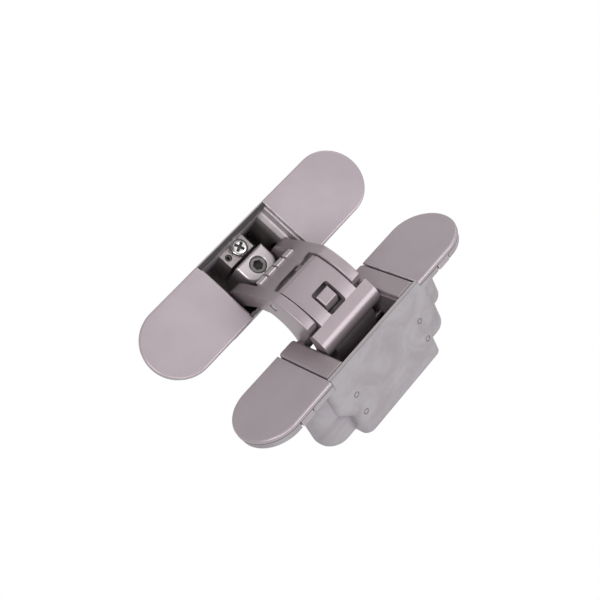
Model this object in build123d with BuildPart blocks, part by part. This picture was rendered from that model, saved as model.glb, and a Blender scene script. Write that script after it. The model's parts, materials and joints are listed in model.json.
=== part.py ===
from build123d import *
import math
import os

# Concealed door hinge: two mortised housings carried by two crossing arms.
# The frame housing is the root.  +Z runs along the long axis of the hinge,
# the frame housing's flat back is at y = 0 and its face looks along -Y.
# Profiles are drawn in the hinge plane, seen square to the pivots: x runs
# across the face towards the other housing and y runs out of the face.
# All lengths are in millimetres and all angles in degrees.

# ---------------------------------------------------------------- housings
FACE_W = 28.0  # width of the face, also twice its end radius
FACE_L = 113.0  # length of the face
DEPTH = 34.0  # back of the body below the face
CAP_T = 1.75  # cover cap thickness
CAP_EDGE = 0.8  # rounding of a cap's rim
FLANGE_T = 2.75  # cast flange under the caps
FLANGE_INSET = 0.4  # flange outline inside the cap outline
BODY_SIDE = 0.5  # body side inside the face edge
WALL = 2.0  # cast wall beside the pocket
FLOOR = 2.5  # cast floor under the pocket
POCKET_L = 39.0  # length of the pocket
BODY_L_TOP = 56.0  # body length under the flange
BODY_L_BACK = 44.0  # body length at the back
SHOULDER = 15.0  # depth where the body starts to draw in
WAIST = 25.5  # depth where it has drawn in
BODY_CORNER = 3.5  # rounding of the body's upright corners
BOSS_W = 16.6  # width of the end bosses
BOSS_REACH = 34.5  # end of a boss from the middle
SHELF_W = 22.0  # width of the thick stretch over a boss
SHELF_REACH = 36.0
SHELF_DEPTH = 18.0  # underside of that stretch
BOSS_EDGE = 2.5  # rounding of a boss's lower edge
BOSS_SHORT = 0.5  # boss end above the flat back
BOSS_CORNER = 7.8
SHELF_CORNER = 7.0
SHELF_EDGE = 1.2
GAP_CUT = 12.0  # depth of the low wall on the arm side
EJECTOR_R = 0.9  # round marks left by the ejector pins
EJECTOR_DEPTH = 0.3
EJECTOR_SPOTS = ((18.2, 14.4), (18.2, 24.0))  # from the middle, below the face

# ------------------------------------------------------------- fixing holes
FIXING_SPAN = 92.0  # between the two holes in the flange ends
FIXING_R = 2.75
FIXING_SINK_R = 4.6
FIXING_SINK = 1.1
BOSS_SPAN = 57.0  # between the two holes through the bosses
BOSS_HOLE_R = 2.2
BOSS_SINK_R = 4.1
BOSS_SINK = 12.0

# --------------------------------------------------------------- cover caps
FRAME_CAP_EDGE = 18.05  # inner edge of a frame cap from the middle
LEAF_CAP_EDGE = 24.3  # inner edge of a leaf cap from the middle
CLIP_AT = 38.0  # middle of a cap's clips from the middle of the hinge
CLIP_L = 5.8
CLIP_T = 1.3
CLIP_PLAY = 0.5  # free length at each end of a clip

# ----------------------------------------------------------------- carriers
ARM_HALF = 14.5  # half width of the fork arm
HEAD_HALF = 14.7  # half width of the T arm's head
CARRIER_IN = 15.1  # inner face of the carriers from the middle
CARRIER_LIP = 17.2  # inner face of a frame carrier's lip
LIP_DEPTH = 6.0
LIP_SLOPE = 1.6
PAD_IN = 15.8  # inner edge of a leaf carrier's pad
PAD_OUT = 23.8
PAD_T = 4.2
PAD_EDGE = 0.8
PAD_CORNER = 1.4  # rounding of a pad's two corners on the arms' side
RIM_IN = 11.5  # pad edge beside the rim, from the middle of the face

# ------------------------------------------------------------------ linkage
PIVOT_X = 11.5  # frame pivot from the middle of the face
PIVOT_DEPTH = 3.5  # frame pivot below the face
THROW = 18.34  # from a housing pivot to the centre pin
THROW_ANGLE = 73.0  # slope of that line as stored
OPEN_ANGLE = 132.2  # opening as stored: 0 is closed, 180 flat
CLOSED_GAP = 5.0  # between the two faces when closed
SLIDE_X = 4.0  # slide pin of the fork from the middle of the face
SLIDE_DEPTH = 14.0  # and below the face, as stored
FULL_OPEN = 180.0

# --------------------------------------------------------------------- pins
PIN_R = 1.5  # housing pivot pins
CENTRE_PIN_R = 1.6
SLIDE_PIN_R = 1.5
SLEEVE_R = 2.5  # sleeve on a slide pin
RUN_FIT = 0.04  # radial play of a turning pin
SLOT_PLAY = 0.3  # play of a sleeve on each side of its slot
PIN_INSET = 0.3  # pin end below the surface around it
SIDE_PLAY = 0.3  # play along a pin beside each moving piece
PART_GAP = 0.1  # gap between pieces that lie side by side

PIN_CHAMFER = 0.25
SHORT_PIN_GRIP = 3.6  # length of a short pin inside its cheek
SLEEVE_SHORT = 0.6  # sleeve end inside the pocket's end wall

# --------------------------------------------------------------------- arms
STEM_HALF = 5.0  # half width of the T arm's stem
PLATE_HALF = 9.6  # half width of the T arm's plate
KNUCKLE_R = 3.0  # round the centre pin
BOSS_R = 2.5  # round a housing pivot
SLIDE_BOSS_R = 3.2  # round a slide pin
LEG_HALF = 10.3  # half width of the T arm's leg
CHEEK_IN = 10.1  # inner face of the fork's cheeks
WINDOW_X = 11.65  # middle of the T arm's window from the centre pin
WINDOW_L = 10.0
WINDOW_HALF = 4.15  # half width of that window
WINDOW_CORNER = 1.0
PEG_HALF = 3.1  # half width of the fork's peg
PEG_EDGE = 0.7
CHEEK_EDGE = 0.7  # rounding along the top of the fork's cheeks
WEB_T = 2.2  # thickness of the fork's web
WEB_CLEAR = 4.5  # room for the T arm round the centre pin
TOOTH_L = 1.2  # teeth on the web's lower edge
TOOTH_T = 1.3
TOOTH_W = 2.4
TOOTH_PITCH = 4.8
TOOTH_COUNT = 4

# ------------------------------------------------------ profiles of the arms
# Points in the hinge plane.  AT_PIVOT points are measured from the frame
# pivot, AT_LEAF points from the middle of the leaf housing's face, and all
# the others from the centre pin.
STEM_AT_PIVOT = ((-2.3, 0.9), (2.4, -0.7))
STEM_BACK = ((-4.7, -12.6), (-2.2, -6.6), (-2.4, -1.6), (-0.8, 3.0))
STEM_FRONT = ((5.0, 3.0), (3.0, -2.0), (0.8, -8.0))
PLATE_REAR = ((-1.5, 2.6), (-1.4, 3.3))
PLATE_CROWN = (7.2, 6.1)
PLATE_END = ((16.6, 6.2), (16.6, 3.2))
PLATE_BELLY = (8.0, 3.4)
PLATE_ROOT = (2.6, 1.4)
HEAD_FLAT = (20.6, 6.25)  # where the head starts to roll over
HEAD_ROLL = (24.2, 4.7)
HEAD_FRONT = (25.75, 1.2)
HEAD_FOOT = ((25.3, -1.6), (20.6, -0.4), (16.25, 3.57))
LEG_FRONT_AT_LEAF = ((1.3, -2.0), (1.3, -4.3), (1.6, -7.0))
LEG_BACK_AT_LEAF = ((-6.2, -8.0), (-3.3, -1.0))
LEG_TANGENTS = (-42.0, 172.0)  # where the leg's sides leave its round end
FORK_HEEL = (-14.6, -16.2)
FORK_HEEL_RISE = 8.0  # straight back of a cheek above the slide pin
SLOPE_FOOT = (-9.9, -8.2)
SLOPE_TOP = (-4.2, 0.4)
SLOPE_END = (-2.1, 3.6)
FORK_FOLD = (-1.2, 4.5)
FORK_CROWN = (6.8, 6.9)
FORK_TIP = (13.8, 7.0)
FORK_NOSE = ((15.9, 3.4), (15.9, -4.0))
NOSE_TANGENTS = (25.0, -110.0)  # where a cheek leaves its round end
FORK_BELLY = (8.0, -5.6)
FORK_CROTCH = (0.5, -6.2)
FORK_SHIN = ((-4.9, -12.5), (-8.4, -20.0))
BAR = ((6.2, -3.6), (8.0, -5.4), (14.2, -6.9), (15.2, -5.5), (15.2, -1.8), (5.8, -1.2))
PEG = ((8.3, -1.8), (8.3, 6.3), (12.9, 6.5), (15.0, 2.6), (15.0, -2.2))

# ------------------------------------------------- bracket and adjusters
LUG_IN = STEM_HALF + SIDE_PLAY
LUG_OUT = 8.8
LUG_FOOT = 5.0  # width of the bracket's foot across the face
FOOT_T = 4.5
SIDE_BLOCK_SIDES = (-4.0, 6.0)  # across the face
SIDE_BLOCK_L = 14.6
SIDE_BLOCK_TOP = 8.6
SIDE_BLOCK_ROUND = 4.0
SIDE_BLOCK_EDGE = 1.2
CLAMP_IN = -5.6  # side of the clamp block nearest the middle
CLAMP_L = 12.8
CLAMP_TOP = 14.3
BLOCK_Z = -1.6  # both blocks sit off the middle
SIDE_SCREW_R = 3.4
SIDE_SCREW_X = 1.1
SIDE_SCREW_L = 12.0
SIDE_SCREW_SUNK = 0.4
HEX_R = 2.1  # corner radius of the hex sockets
HEX_DEPTH = 3.0
CLAMP_SCREW_X = -9.0
CLAMP_SCREW_Z = -2.9
CLAMP_HEAD_R = 2.9
CLAMP_HEAD_T = 2.4
CLAMP_HEAD_ROUND = 1.45
CLAMP_SHANK_R = 1.5
CLAMP_SHANK_L = 9.0
CROSS_W = 0.9  # cross recess of the clamp screw
CROSS_L = 3.4
CROSS_TURN = 20.0
CROSS_DEPTH = 1.3
LOCK_X = -9.2
LOCK_Z = 2.6
LOCK_R = 1.4
LOCK_L = 6.0
LOCK_SUNK = 0.8
LOCK_HEX_R = 0.75


# ------------------------------------------------------- derived geometry
def polar(length, angle):
    return (length * math.cos(math.radians(angle)), length * math.sin(math.radians(angle)))


def added(a, b):
    return (a[0] + b[0], a[1] + b[1])


def turned(point, centre, angle):
    """A hinge-plane point turned about a centre."""
    dx, dy = point[0] - centre[0], point[1] - centre[1]
    c, s = math.cos(math.radians(angle)), math.sin(math.radians(angle))
    return (centre[0] + c * dx - s * dy, centre[1] + s * dx + c * dy)


LEAF_TURN = FULL_OPEN - OPEN_ANGLE
FRAME_PIVOT = (PIVOT_X, -PIVOT_DEPTH)
CENTRE = added(FRAME_PIVOT, polar(THROW, THROW_ANGLE))

# The leaf housing is the mirror image of the frame housing in a line through
# the centre pin that leans by half the leaf's turn.
mirror_line = polar(1.0, LEAF_TURN / 2 - 90)
along = CENTRE[0] * mirror_line[0] + CENTRE[1] * mirror_line[1]
LEAF_ORIGIN = (
    2 * (CENTRE[0] - along * mirror_line[0]),
    2 * (CENTRE[1] - along * mirror_line[1]),
)
LEAF_PLACE = Location((-LEAF_ORIGIN[0], -DEPTH - LEAF_ORIGIN[1], 0), (0, 0, LEAF_TURN)) * Location(
    (0, DEPTH, 0)
)

# Share of the door's swing that each arm turns at its housing pivot.
closed_slope = 180 - math.degrees(math.asin((CLOSED_GAP / 2 + PIVOT_DEPTH) / THROW))
ARM_SHARE = (closed_slope - THROW_ANGLE) / OPEN_ANGLE


def from_leaf(x, y):
    """A point given in the leaf housing's own hinge plane."""
    return added(LEAF_ORIGIN, turned((x, y), (0, 0), LEAF_TURN))


LEAF_PIVOT = from_leaf(-PIVOT_X, -PIVOT_DEPTH)
FRAME_SLIDE = (SLIDE_X, -SLIDE_DEPTH)
LEAF_SLIDE = from_leaf(-SLIDE_X, -SLIDE_DEPTH)


def slide_at(opening):
    """Where the fork's slide pin stands in the frame housing at an opening."""
    swing = OPEN_ANGLE - opening
    centre = turned(CENTRE, FRAME_PIVOT, ARM_SHARE * swing)
    reach = (FRAME_SLIDE[0] - CENTRE[0], FRAME_SLIDE[1] - CENTRE[1])
    return added(centre, turned(reach, (0, 0), (1 - ARM_SHARE) * swing))


SLOT_OPENINGS = (150, 120, 95, 70, 45, 22, 0)  # openings the slot is drawn through
SLOT_POINTS = [slide_at(opening) for opening in SLOT_OPENINGS]


def hinge_plane(z=0.0):
    """Plane of the profiles at a height: x across the face, y out of it."""
    return Plane(origin=(0, -DEPTH, z), x_dir=(-1, 0, 0), z_dir=(0, 0, 1))


def face_plane(depth=0.0):
    """Plane parallel to the face: x across, y down the hinge, z out."""
    return Plane(origin=(0, depth - DEPTH, 0), x_dir=(-1, 0, 0), z_dir=(0, -1, 0))


SIDE_PLANE = Plane(origin=(0, -DEPTH, 0), x_dir=(0, 0, 1), z_dir=(1, 0, 0))

HALF_W = FACE_W / 2
FLANGE_R = HALF_W - FLANGE_INSET
BODY_HALF = HALF_W - BODY_SIDE
POCKET_HALF = HALF_W - WALL
POCKET_DEPTH = DEPTH - FLOOR
SEAT = CAP_T  # depth of the flange's top
FLANGE_BACK = CAP_T + FLANGE_T
CUT_WIDE = FACE_W + 2 * WALL  # wider than any piece that is cut right across
PIN_SEAT = ARM_HALF - SHORT_PIN_GRIP
SLEEVE_IN = CARRIER_IN + PART_GAP
SLEEVE_OUT = POCKET_L / 2 - SLEEVE_SHORT

made = []


def finish(builder, label, place=None):
    """Name a finished piece and put a leaf piece in its place."""
    piece = builder.part if place is None else builder.part.moved(place)
    piece.label = label
    made.append(piece)


# ================================================================ housings
def body_side_line():
    """Half the side view of the body: straight, drawn in by an S-curve."""
    top, back = BODY_L_TOP / 2, BODY_L_BACK / 2
    middle = ((top + back) / 2, -(SHOULDER + WAIST) / 2)
    Polyline((0, -SEAT), (top, -SEAT), (top, -SHOULDER))
    Spline(
        (top, -SHOULDER),
        middle,
        (back, -WAIST),
        tangents=((0, -1), (-0.75, -1), (0, -1)),
    )
    Polyline((back, -WAIST), (back, -DEPTH), (0, -DEPTH), (0, -SEAT))


def body_block():
    """The long body of a casting, drawn in towards its back."""
    with BuildPart() as body:
        with BuildSketch(SIDE_PLANE):
            with BuildLine():
                body_side_line()
            make_face()
            mirror(about=Plane.YZ)
        extrude(amount=BODY_HALF, both=True)
        corners = body.edges().filter_by(
            lambda e: abs(abs(e.center().X) - BODY_HALF) < WALL / 10
            and abs(e.center().Z) > BODY_L_BACK / 2 - WALL / 10
            and e.bounding_box().size.Y > BODY_CORNER
        )
        fillet(corners, BODY_CORNER)
    return body.part


def build_housing(label, cap_edge, seat_half, seat_depth, arm_side, hub_notch, place=None):
    """One rough casting.  arm_side is 1 where the arms leave towards +x."""
    body = body_block()
    with BuildPart() as housing:
        with BuildSketch(face_plane(FLANGE_BACK)):
            RectangleRounded(SHELF_W, 2 * SHELF_REACH, SHELF_CORNER)
        extrude(amount=FLANGE_BACK - SHELF_DEPTH)
        fillet(housing.faces().sort_by(Axis.Y)[-1].edges(), SHELF_EDGE)
        with BuildSketch(face_plane(FLANGE_BACK)):
            RectangleRounded(BOSS_W, 2 * BOSS_REACH, BOSS_CORNER)
        extrude(amount=FLANGE_BACK - DEPTH + BOSS_SHORT)
        fillet(housing.faces().sort_by(Axis.Y)[-1].edges(), BOSS_EDGE)

        add(body)

        with BuildSketch(face_plane(SEAT)):
            SlotOverall(FACE_L - 2 * FLANGE_INSET, 2 * FLANGE_R, rotation=90)
        extrude(amount=-FLANGE_T)

        with BuildSketch(face_plane(seat_depth)):
            Rectangle(CUT_WIDE, 2 * seat_half)
        extrude(amount=seat_depth, mode=Mode.SUBTRACT)
        with BuildSketch(face_plane(FLANGE_BACK)):
            with Locations((-arm_side * (HALF_W - WALL / 2), 0)):
                Rectangle(WALL, 2 * (cap_edge - PART_GAP))
        extrude(amount=FLANGE_BACK)
        with BuildSketch(face_plane(POCKET_DEPTH)):
            Rectangle(2 * POCKET_HALF, POCKET_L)
        extrude(amount=POCKET_DEPTH, mode=Mode.SUBTRACT)
        with BuildSketch(face_plane(GAP_CUT)):
            with Locations((arm_side * HALF_W, 0)):
                Rectangle(3 * WALL, 2 * CARRIER_IN)
        extrude(amount=GAP_CUT, mode=Mode.SUBTRACT)
        if hub_notch:
            with BuildSketch(face_plane(PIVOT_DEPTH + BOSS_R)):
                with Locations((arm_side * HALF_W, 0)):
                    Rectangle(3 * WALL, POCKET_L)
            extrude(amount=PIVOT_DEPTH + BOSS_R, mode=Mode.SUBTRACT)

        with BuildSketch(face_plane(FLANGE_BACK)):
            with GridLocations(2 * HALF_W, 2 * CLIP_AT, 2, 2):
                Rectangle(2 * (CLIP_T + PART_GAP), CLIP_L + 2 * CLIP_PLAY)
        extrude(amount=FLANGE_BACK, mode=Mode.SUBTRACT)

        with Locations(face_plane(SEAT)):
            with GridLocations(0, FIXING_SPAN, 1, 2):
                CounterBoreHole(FIXING_R, FIXING_SINK_R, FIXING_SINK, FLANGE_T)
            with GridLocations(0, BOSS_SPAN, 1, 2):
                CounterBoreHole(BOSS_HOLE_R, BOSS_SINK_R, BOSS_SINK, DEPTH)
        for across, depth in EJECTOR_SPOTS:
            with Locations(Plane(origin=(arm_side * BODY_HALF, depth - DEPTH, 0), z_dir=(arm_side, 0, 0))):
                with GridLocations(0, 2 * across, 1, 2):
                    Cylinder(EJECTOR_R, 2 * EJECTOR_DEPTH, mode=Mode.SUBTRACT)
    finish(housing, label, place)


def build_cap(label, inner_edge, end, place=None):
    """A cover cap with a rounded rim and two clips.  end is 1 at the top."""
    with BuildPart() as cap:
        with BuildSketch(face_plane(CAP_T)):
            SlotOverall(FACE_L, FACE_W, rotation=90)
            with Locations((0, -end * (inner_edge - FACE_L / 2))):
                Rectangle(FACE_W, FACE_L, mode=Mode.SUBTRACT)
        extrude(amount=CAP_T)
        rim = cap.faces().sort_by(Axis.Y)[0].outer_wire().edges()
        fillet(rim.sort_by(lambda e: -end * e.center().Z)[:-1], CAP_EDGE)
        with BuildSketch(face_plane(CAP_T)):
            with Locations((0, -end * CLIP_AT)):
                with GridLocations(FACE_W - CLIP_T, 0, 2, 1):
                    Rectangle(CLIP_T, CLIP_L)
        extrude(amount=-FLANGE_T)
    finish(cap, label, place)


# ================================================================ carriers
def slot_cut(arm_side):
    """Curved slot that guides a slide pin's sleeve, as a sketch."""
    points = [(arm_side * x, y) for x, y in SLOT_POINTS]
    rest = slide_at(FULL_OPEN)
    radius = SLEEVE_R + SLOT_PLAY
    with BuildSketch(mode=Mode.PRIVATE) as slot:
        with BuildLine():
            Spline(*points)
        trace(line_width=2 * radius)
        with Locations(points[0], points[-1], (arm_side * rest[0], rest[1])):
            Circle(radius)
    return slot.sketch


def build_carrier(label, end, arm_side, lip_in, pad, place=None):
    """Side plate of a pocket: it guides one slide pin and, on the leaf, holds
    a housing pivot and shows a pad beside the arms."""
    thick_top = LIP_DEPTH if lip_in > CARRIER_IN else SEAT
    with BuildPart() as carrier:
        with BuildSketch(hinge_plane(end * CARRIER_IN)):
            with Locations((0, -(thick_top + POCKET_DEPTH) / 2)):
                Rectangle(2 * POCKET_HALF, POCKET_DEPTH - thick_top)
        extrude(amount=end * (POCKET_L / 2 - CARRIER_IN))
        if lip_in > CARRIER_IN:
            with BuildSketch(hinge_plane(end * lip_in)):
                with Locations((0, -(SEAT + thick_top) / 2)):
                    Rectangle(2 * POCKET_HALF, thick_top - SEAT)
            extrude(amount=end * (POCKET_L / 2 - lip_in))
            ledge = carrier.edges().filter_by(Axis.X).filter_by(
                lambda e: abs(abs(e.center().Z) - CARRIER_IN) < PART_GAP
                and e.center().Y < -DEPTH + thick_top + PART_GAP
            )
            chamfer(ledge, LIP_SLOPE)
        if pad:
            with BuildSketch(face_plane(PAD_T)):
                with Locations((arm_side * (HALF_W - RIM_IN) / 2, -end * (PAD_IN + PAD_OUT) / 2)):
                    outline = Rectangle(RIM_IN + HALF_W, PAD_OUT - PAD_IN)
                fillet(outline.vertices().sort_by(Axis.X, reverse=arm_side > 0)[:2], PAD_CORNER)
            extrude(amount=PAD_T)
            pad_top = carrier.faces().sort_by(Axis.Y)[0]
            fillet(pad_top.edges(), PAD_EDGE)
            with BuildSketch(hinge_plane(end * CARRIER_IN)):
                with Locations((arm_side * PIVOT_X, -PIVOT_DEPTH)):
                    Circle(BOSS_R)
            extrude(amount=end * (POCKET_L / 2 - CARRIER_IN))
            with BuildSketch(hinge_plane(end * CARRIER_IN)):
                with Locations((arm_side * PIVOT_X, -PIVOT_DEPTH)):
                    Circle(PIN_R)
            extrude(amount=end * (SLEEVE_OUT - CARRIER_IN), mode=Mode.SUBTRACT)
        with BuildSketch(hinge_plane(end * CARRIER_IN)):
            add(slot_cut(arm_side))
        extrude(amount=end * (POCKET_L / 2 - CARRIER_IN), mode=Mode.SUBTRACT)
    finish(carrier, label, place)


# ==================================================================== arms
def bore(plane_z, centre, radius, length):
    """Hole along the hinge's long axis, cut from a height upwards."""
    with BuildSketch(hinge_plane(plane_z), mode=Mode.PRIVATE) as hole:
        with Locations(centre):
            Circle(radius)
    extrude(hole.sketch, amount=length, mode=Mode.SUBTRACT)


def near_centre(*points):
    """Points that are given from the centre pin."""
    return [added(CENTRE, point) for point in points]


def near_leaf(*points):
    """Points that are given from the middle of the leaf housing's face."""
    return [from_leaf(*point) for point in points]


def head_block():
    """Rounded head across the end of the T arm's plate."""
    top, flat, roll, front = near_centre(PLATE_END[0], HEAD_FLAT, HEAD_ROLL, HEAD_FRONT)
    with BuildPart() as head:
        with BuildSketch(hinge_plane()):
            with BuildLine():
                Line(top, flat)
                ThreePointArc(flat, roll, front)
                Polyline(front, *near_centre(*HEAD_FOOT), top)
            make_face()
        extrude(amount=HEAD_HALF, both=True)
    return head.part


def build_t_arm():
    """Arm hinged in the frame housing: a stem under the fork, a plate with a
    window, a wide rounded head and a leg into the leaf housing."""
    stem_root, stem_heel = [added(FRAME_PIVOT, point) for point in STEM_AT_PIVOT]
    rear_low, rear_top = near_centre(*PLATE_REAR)
    end_top, end_low = near_centre(*PLATE_END)
    crown, belly, root = near_centre(PLATE_CROWN, PLATE_BELLY, PLATE_ROOT)
    leg_round = [added(LEAF_SLIDE, polar(SLIDE_BOSS_R, LEAF_TURN + turn)) for turn in LEG_TANGENTS]
    leg_front = near_leaf(*LEG_FRONT_AT_LEAF)
    leg_back = near_leaf(*LEG_BACK_AT_LEAF)
    head = head_block()
    with BuildPart() as arm:
        with BuildSketch(hinge_plane()):
            with BuildLine():
                Polyline(
                    stem_root,
                    *near_centre(*STEM_BACK),
                    *near_centre(*STEM_FRONT),
                    stem_heel,
                    close=True,
                )
            make_face()
            with Locations(FRAME_PIVOT):
                Circle(BOSS_R)
        extrude(amount=STEM_HALF, both=True)
        with BuildSketch(hinge_plane()):
            with Locations(CENTRE):
                Circle(KNUCKLE_R)
            with BuildLine():
                Line(rear_low, rear_top)
                ThreePointArc(rear_top, crown, end_top)
                Line(end_top, end_low)
                ThreePointArc(end_low, belly, root)
                Line(root, rear_low)
            make_face()
        extrude(amount=PLATE_HALF, both=True)
        with BuildSketch(hinge_plane()):
            with BuildLine():
                Polyline(*leg_front, *leg_round, *leg_back, close=True)
            make_face()
            with Locations(LEAF_SLIDE):
                Circle(SLIDE_BOSS_R)
        extrude(amount=LEG_HALF, both=True)
        add(head)

        with BuildSketch(face_plane(-CENTRE[1])):
            with Locations((CENTRE[0] + WINDOW_X, 0)):
                RectangleRounded(WINDOW_L, 2 * WINDOW_HALF, WINDOW_CORNER)
        extrude(amount=HALF_W, mode=Mode.SUBTRACT)
        bore(-STEM_HALF, FRAME_PIVOT, PIN_R + RUN_FIT, 2 * STEM_HALF)
        bore(-PLATE_HALF, CENTRE, CENTRE_PIN_R + RUN_FIT, 2 * PLATE_HALF)
        bore(-LEG_HALF, LEAF_SLIDE, SLIDE_PIN_R, 2 * LEG_HALF)
    finish(arm, "t_arm")


def peg_block():
    """Square peg with rounded edges that fills the T arm's window."""
    with BuildPart() as peg:
        with BuildSketch(hinge_plane()):
            with BuildLine():
                Polyline(*near_centre(*PEG), close=True)
            make_face()
        extrude(amount=PEG_HALF, both=True)
        fillet(peg.faces().sort_by(Axis.Y)[0].edges(), PEG_EDGE)
    return peg.part


def cheek_block(end):
    """One cheek of the fork, rounded along its top.  end is 1 at the top."""
    heel, foot, slope_end, fold, crown, tip = near_centre(
        FORK_HEEL, SLOPE_FOOT, SLOPE_END, FORK_FOLD, FORK_CROWN, FORK_TIP
    )
    nose, chin = [added(LEAF_PIVOT, polar(BOSS_R, turn)) for turn in NOSE_TANGENTS]
    belly, crotch = near_centre(FORK_BELLY, FORK_CROTCH)
    with BuildPart() as cheek:
        with BuildSketch(hinge_plane(end * CHEEK_IN)):
            with BuildLine():
                Polyline(
                    added(FRAME_SLIDE, (-SLIDE_BOSS_R, 0)),
                    added(FRAME_SLIDE, (-SLIDE_BOSS_R, FORK_HEEL_RISE)),
                    heel,
                    foot,
                    slope_end,
                    fold,
                )
                ThreePointArc(fold, crown, tip)
                Polyline(tip, *near_centre(*FORK_NOSE), nose)
                Line(nose, chin)
                ThreePointArc(chin, belly, crotch)
                Polyline(
                    crotch,
                    *near_centre(*FORK_SHIN),
                    added(FRAME_SLIDE, (SLIDE_BOSS_R, 0)),
                    added(FRAME_SLIDE, (-SLIDE_BOSS_R, 0)),
                )
            make_face()
            with Locations(FRAME_SLIDE):
                Circle(SLIDE_BOSS_R)
            with Locations(LEAF_PIVOT):
                Circle(BOSS_R)
        extrude(amount=end * (ARM_HALF - CHEEK_IN))
        crest = -DEPTH - fold[1]
        rim = cheek.faces().filter_by(Axis.Z).edges().filter_by(
            lambda e: e.bounding_box().max.Y < crest + CHEEK_EDGE
        )
        fillet(rim, CHEEK_EDGE)
    return cheek.part


def build_fork_arm():
    """Arm hinged in the leaf housing: two cheeks joined by a sloping web, by
    a bar under the plate and by the peg that stands in its window."""
    foot, slope_top = near_centre(SLOPE_FOOT, SLOPE_TOP)
    slope = math.degrees(math.atan2(SLOPE_TOP[1] - SLOPE_FOOT[1], SLOPE_TOP[0] - SLOPE_FOOT[0]))
    web_in = polar(WEB_T, slope - 90)
    tooth_in = polar(TOOTH_T, slope - 90)
    tooth_down = polar(-TOOTH_L, slope)
    cheeks = [cheek_block(end) for end in (1, -1)]
    peg = peg_block()
    with BuildPart() as fork:
        add(cheeks)
        with BuildSketch(hinge_plane()):
            with BuildLine():
                Polyline(foot, slope_top, added(slope_top, web_in), added(foot, web_in), close=True)
            make_face()
            with Locations(CENTRE):
                Circle(WEB_CLEAR, mode=Mode.SUBTRACT)
        extrude(amount=CHEEK_IN, both=True)
        with BuildSketch(hinge_plane()):
            with BuildLine():
                Polyline(*near_centre(*BAR), close=True)
            make_face()
        extrude(amount=CHEEK_IN, both=True)
        add(peg)
        for index in range(TOOTH_COUNT):
            low = (index - (TOOTH_COUNT - 1) / 2) * TOOTH_PITCH - TOOTH_W / 2
            with BuildSketch(hinge_plane(low)):
                with BuildLine():
                    Polyline(
                        added(foot, tooth_down),
                        slope_top,
                        added(slope_top, tooth_in),
                        added(foot, added(tooth_down, tooth_in)),
                        close=True,
                    )
                make_face()
                with Locations(CENTRE):
                    Circle(WEB_CLEAR, mode=Mode.SUBTRACT)
            extrude(amount=TOOTH_W)
        bore(-ARM_HALF, CENTRE, CENTRE_PIN_R, 2 * ARM_HALF)
        bore(-ARM_HALF, LEAF_PIVOT, PIN_R + RUN_FIT, 2 * ARM_HALF)
        bore(-ARM_HALF, FRAME_SLIDE, SLIDE_PIN_R, 2 * ARM_HALF)
    finish(fork, "fork_arm")


# ==================================================================== pins
def build_pin(label, centre, radius, low, high):
    with BuildPart() as pin:
        with BuildSketch(hinge_plane(low)):
            with Locations(centre):
                Circle(radius)
        extrude(amount=high - low)
        chamfer(pin.edges().filter_by(GeomType.CIRCLE), PIN_CHAMFER)
    finish(pin, label)


def build_sleeve(label, centre, end):
    low, high = sorted((end * SLEEVE_IN, end * SLEEVE_OUT))
    with BuildPart() as sleeve:
        with BuildSketch(hinge_plane(low)):
            with Locations(centre):
                Circle(SLEEVE_R)
                Circle(SLIDE_PIN_R, mode=Mode.SUBTRACT)
        extrude(amount=high - low)
    finish(sleeve, label)


# ================================================== bracket and adjusters
def build_bracket():
    """Two lugs on one foot that carry the frame pivot."""
    with BuildPart() as bracket:
        for end in (1, -1):
            with BuildSketch(hinge_plane(end * LUG_IN)):
                with BuildLine():
                    Polyline(
                        added(FRAME_PIVOT, (-BOSS_R, 0)),
                        (POCKET_HALF - LUG_FOOT, -GAP_CUT),
                        (POCKET_HALF - LUG_FOOT, -POCKET_DEPTH),
                        (POCKET_HALF, -POCKET_DEPTH),
                        (POCKET_HALF, -GAP_CUT),
                        added(FRAME_PIVOT, (BOSS_R, 0)),
                        added(FRAME_PIVOT, (-BOSS_R, 0)),
                    )
                make_face()
                with Locations(FRAME_PIVOT):
                    Circle(BOSS_R)
                    Circle(PIN_R, mode=Mode.SUBTRACT)
            extrude(amount=end * (LUG_OUT - LUG_IN))
        with BuildSketch(face_plane(POCKET_DEPTH)):
            with Locations((POCKET_HALF - LUG_FOOT / 2, 0)):
                Rectangle(LUG_FOOT, 2 * LUG_OUT)
        extrude(amount=FOOT_T)
    finish(bracket, "frame_bracket")


def build_side_block():
    """Rounded block with a socket screw that shifts the hinge sideways."""
    left, right = SIDE_BLOCK_SIDES
    with BuildPart() as block:
        with BuildSketch(face_plane(POCKET_DEPTH)):
            with Locations(((left + right) / 2, -BLOCK_Z)):
                outline = Rectangle(right - left, SIDE_BLOCK_L)
            fillet(outline.vertices().group_by(Axis.X)[-1], SIDE_BLOCK_ROUND)
        extrude(amount=POCKET_DEPTH - SIDE_BLOCK_TOP)
        fillet(block.faces().sort_by(Axis.Y)[0].edges(), SIDE_BLOCK_EDGE)
        with Locations(face_plane(SIDE_BLOCK_TOP)):
            with Locations((SIDE_SCREW_X, -BLOCK_Z)):
                Hole(SIDE_SCREW_R + RUN_FIT, SIDE_SCREW_L)
    finish(block, "side_block")


def build_clamp_block():
    """Square block with the clamp screw and a small lock screw."""
    with BuildPart() as block:
        with BuildSketch(face_plane(POCKET_DEPTH)):
            with Locations(((CLAMP_IN - POCKET_HALF) / 2, -BLOCK_Z)):
                Rectangle(POCKET_HALF + CLAMP_IN, CLAMP_L)
        extrude(amount=POCKET_DEPTH - CLAMP_TOP)
        with Locations(face_plane(CLAMP_TOP)):
            with Locations((CLAMP_SCREW_X, -CLAMP_SCREW_Z)):
                Hole(CLAMP_SHANK_R + RUN_FIT, CLAMP_SHANK_L)
            with Locations((LOCK_X, -LOCK_Z)):
                Hole(LOCK_R + RUN_FIT, LOCK_L + LOCK_SUNK)
    finish(block, "clamp_block")


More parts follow.
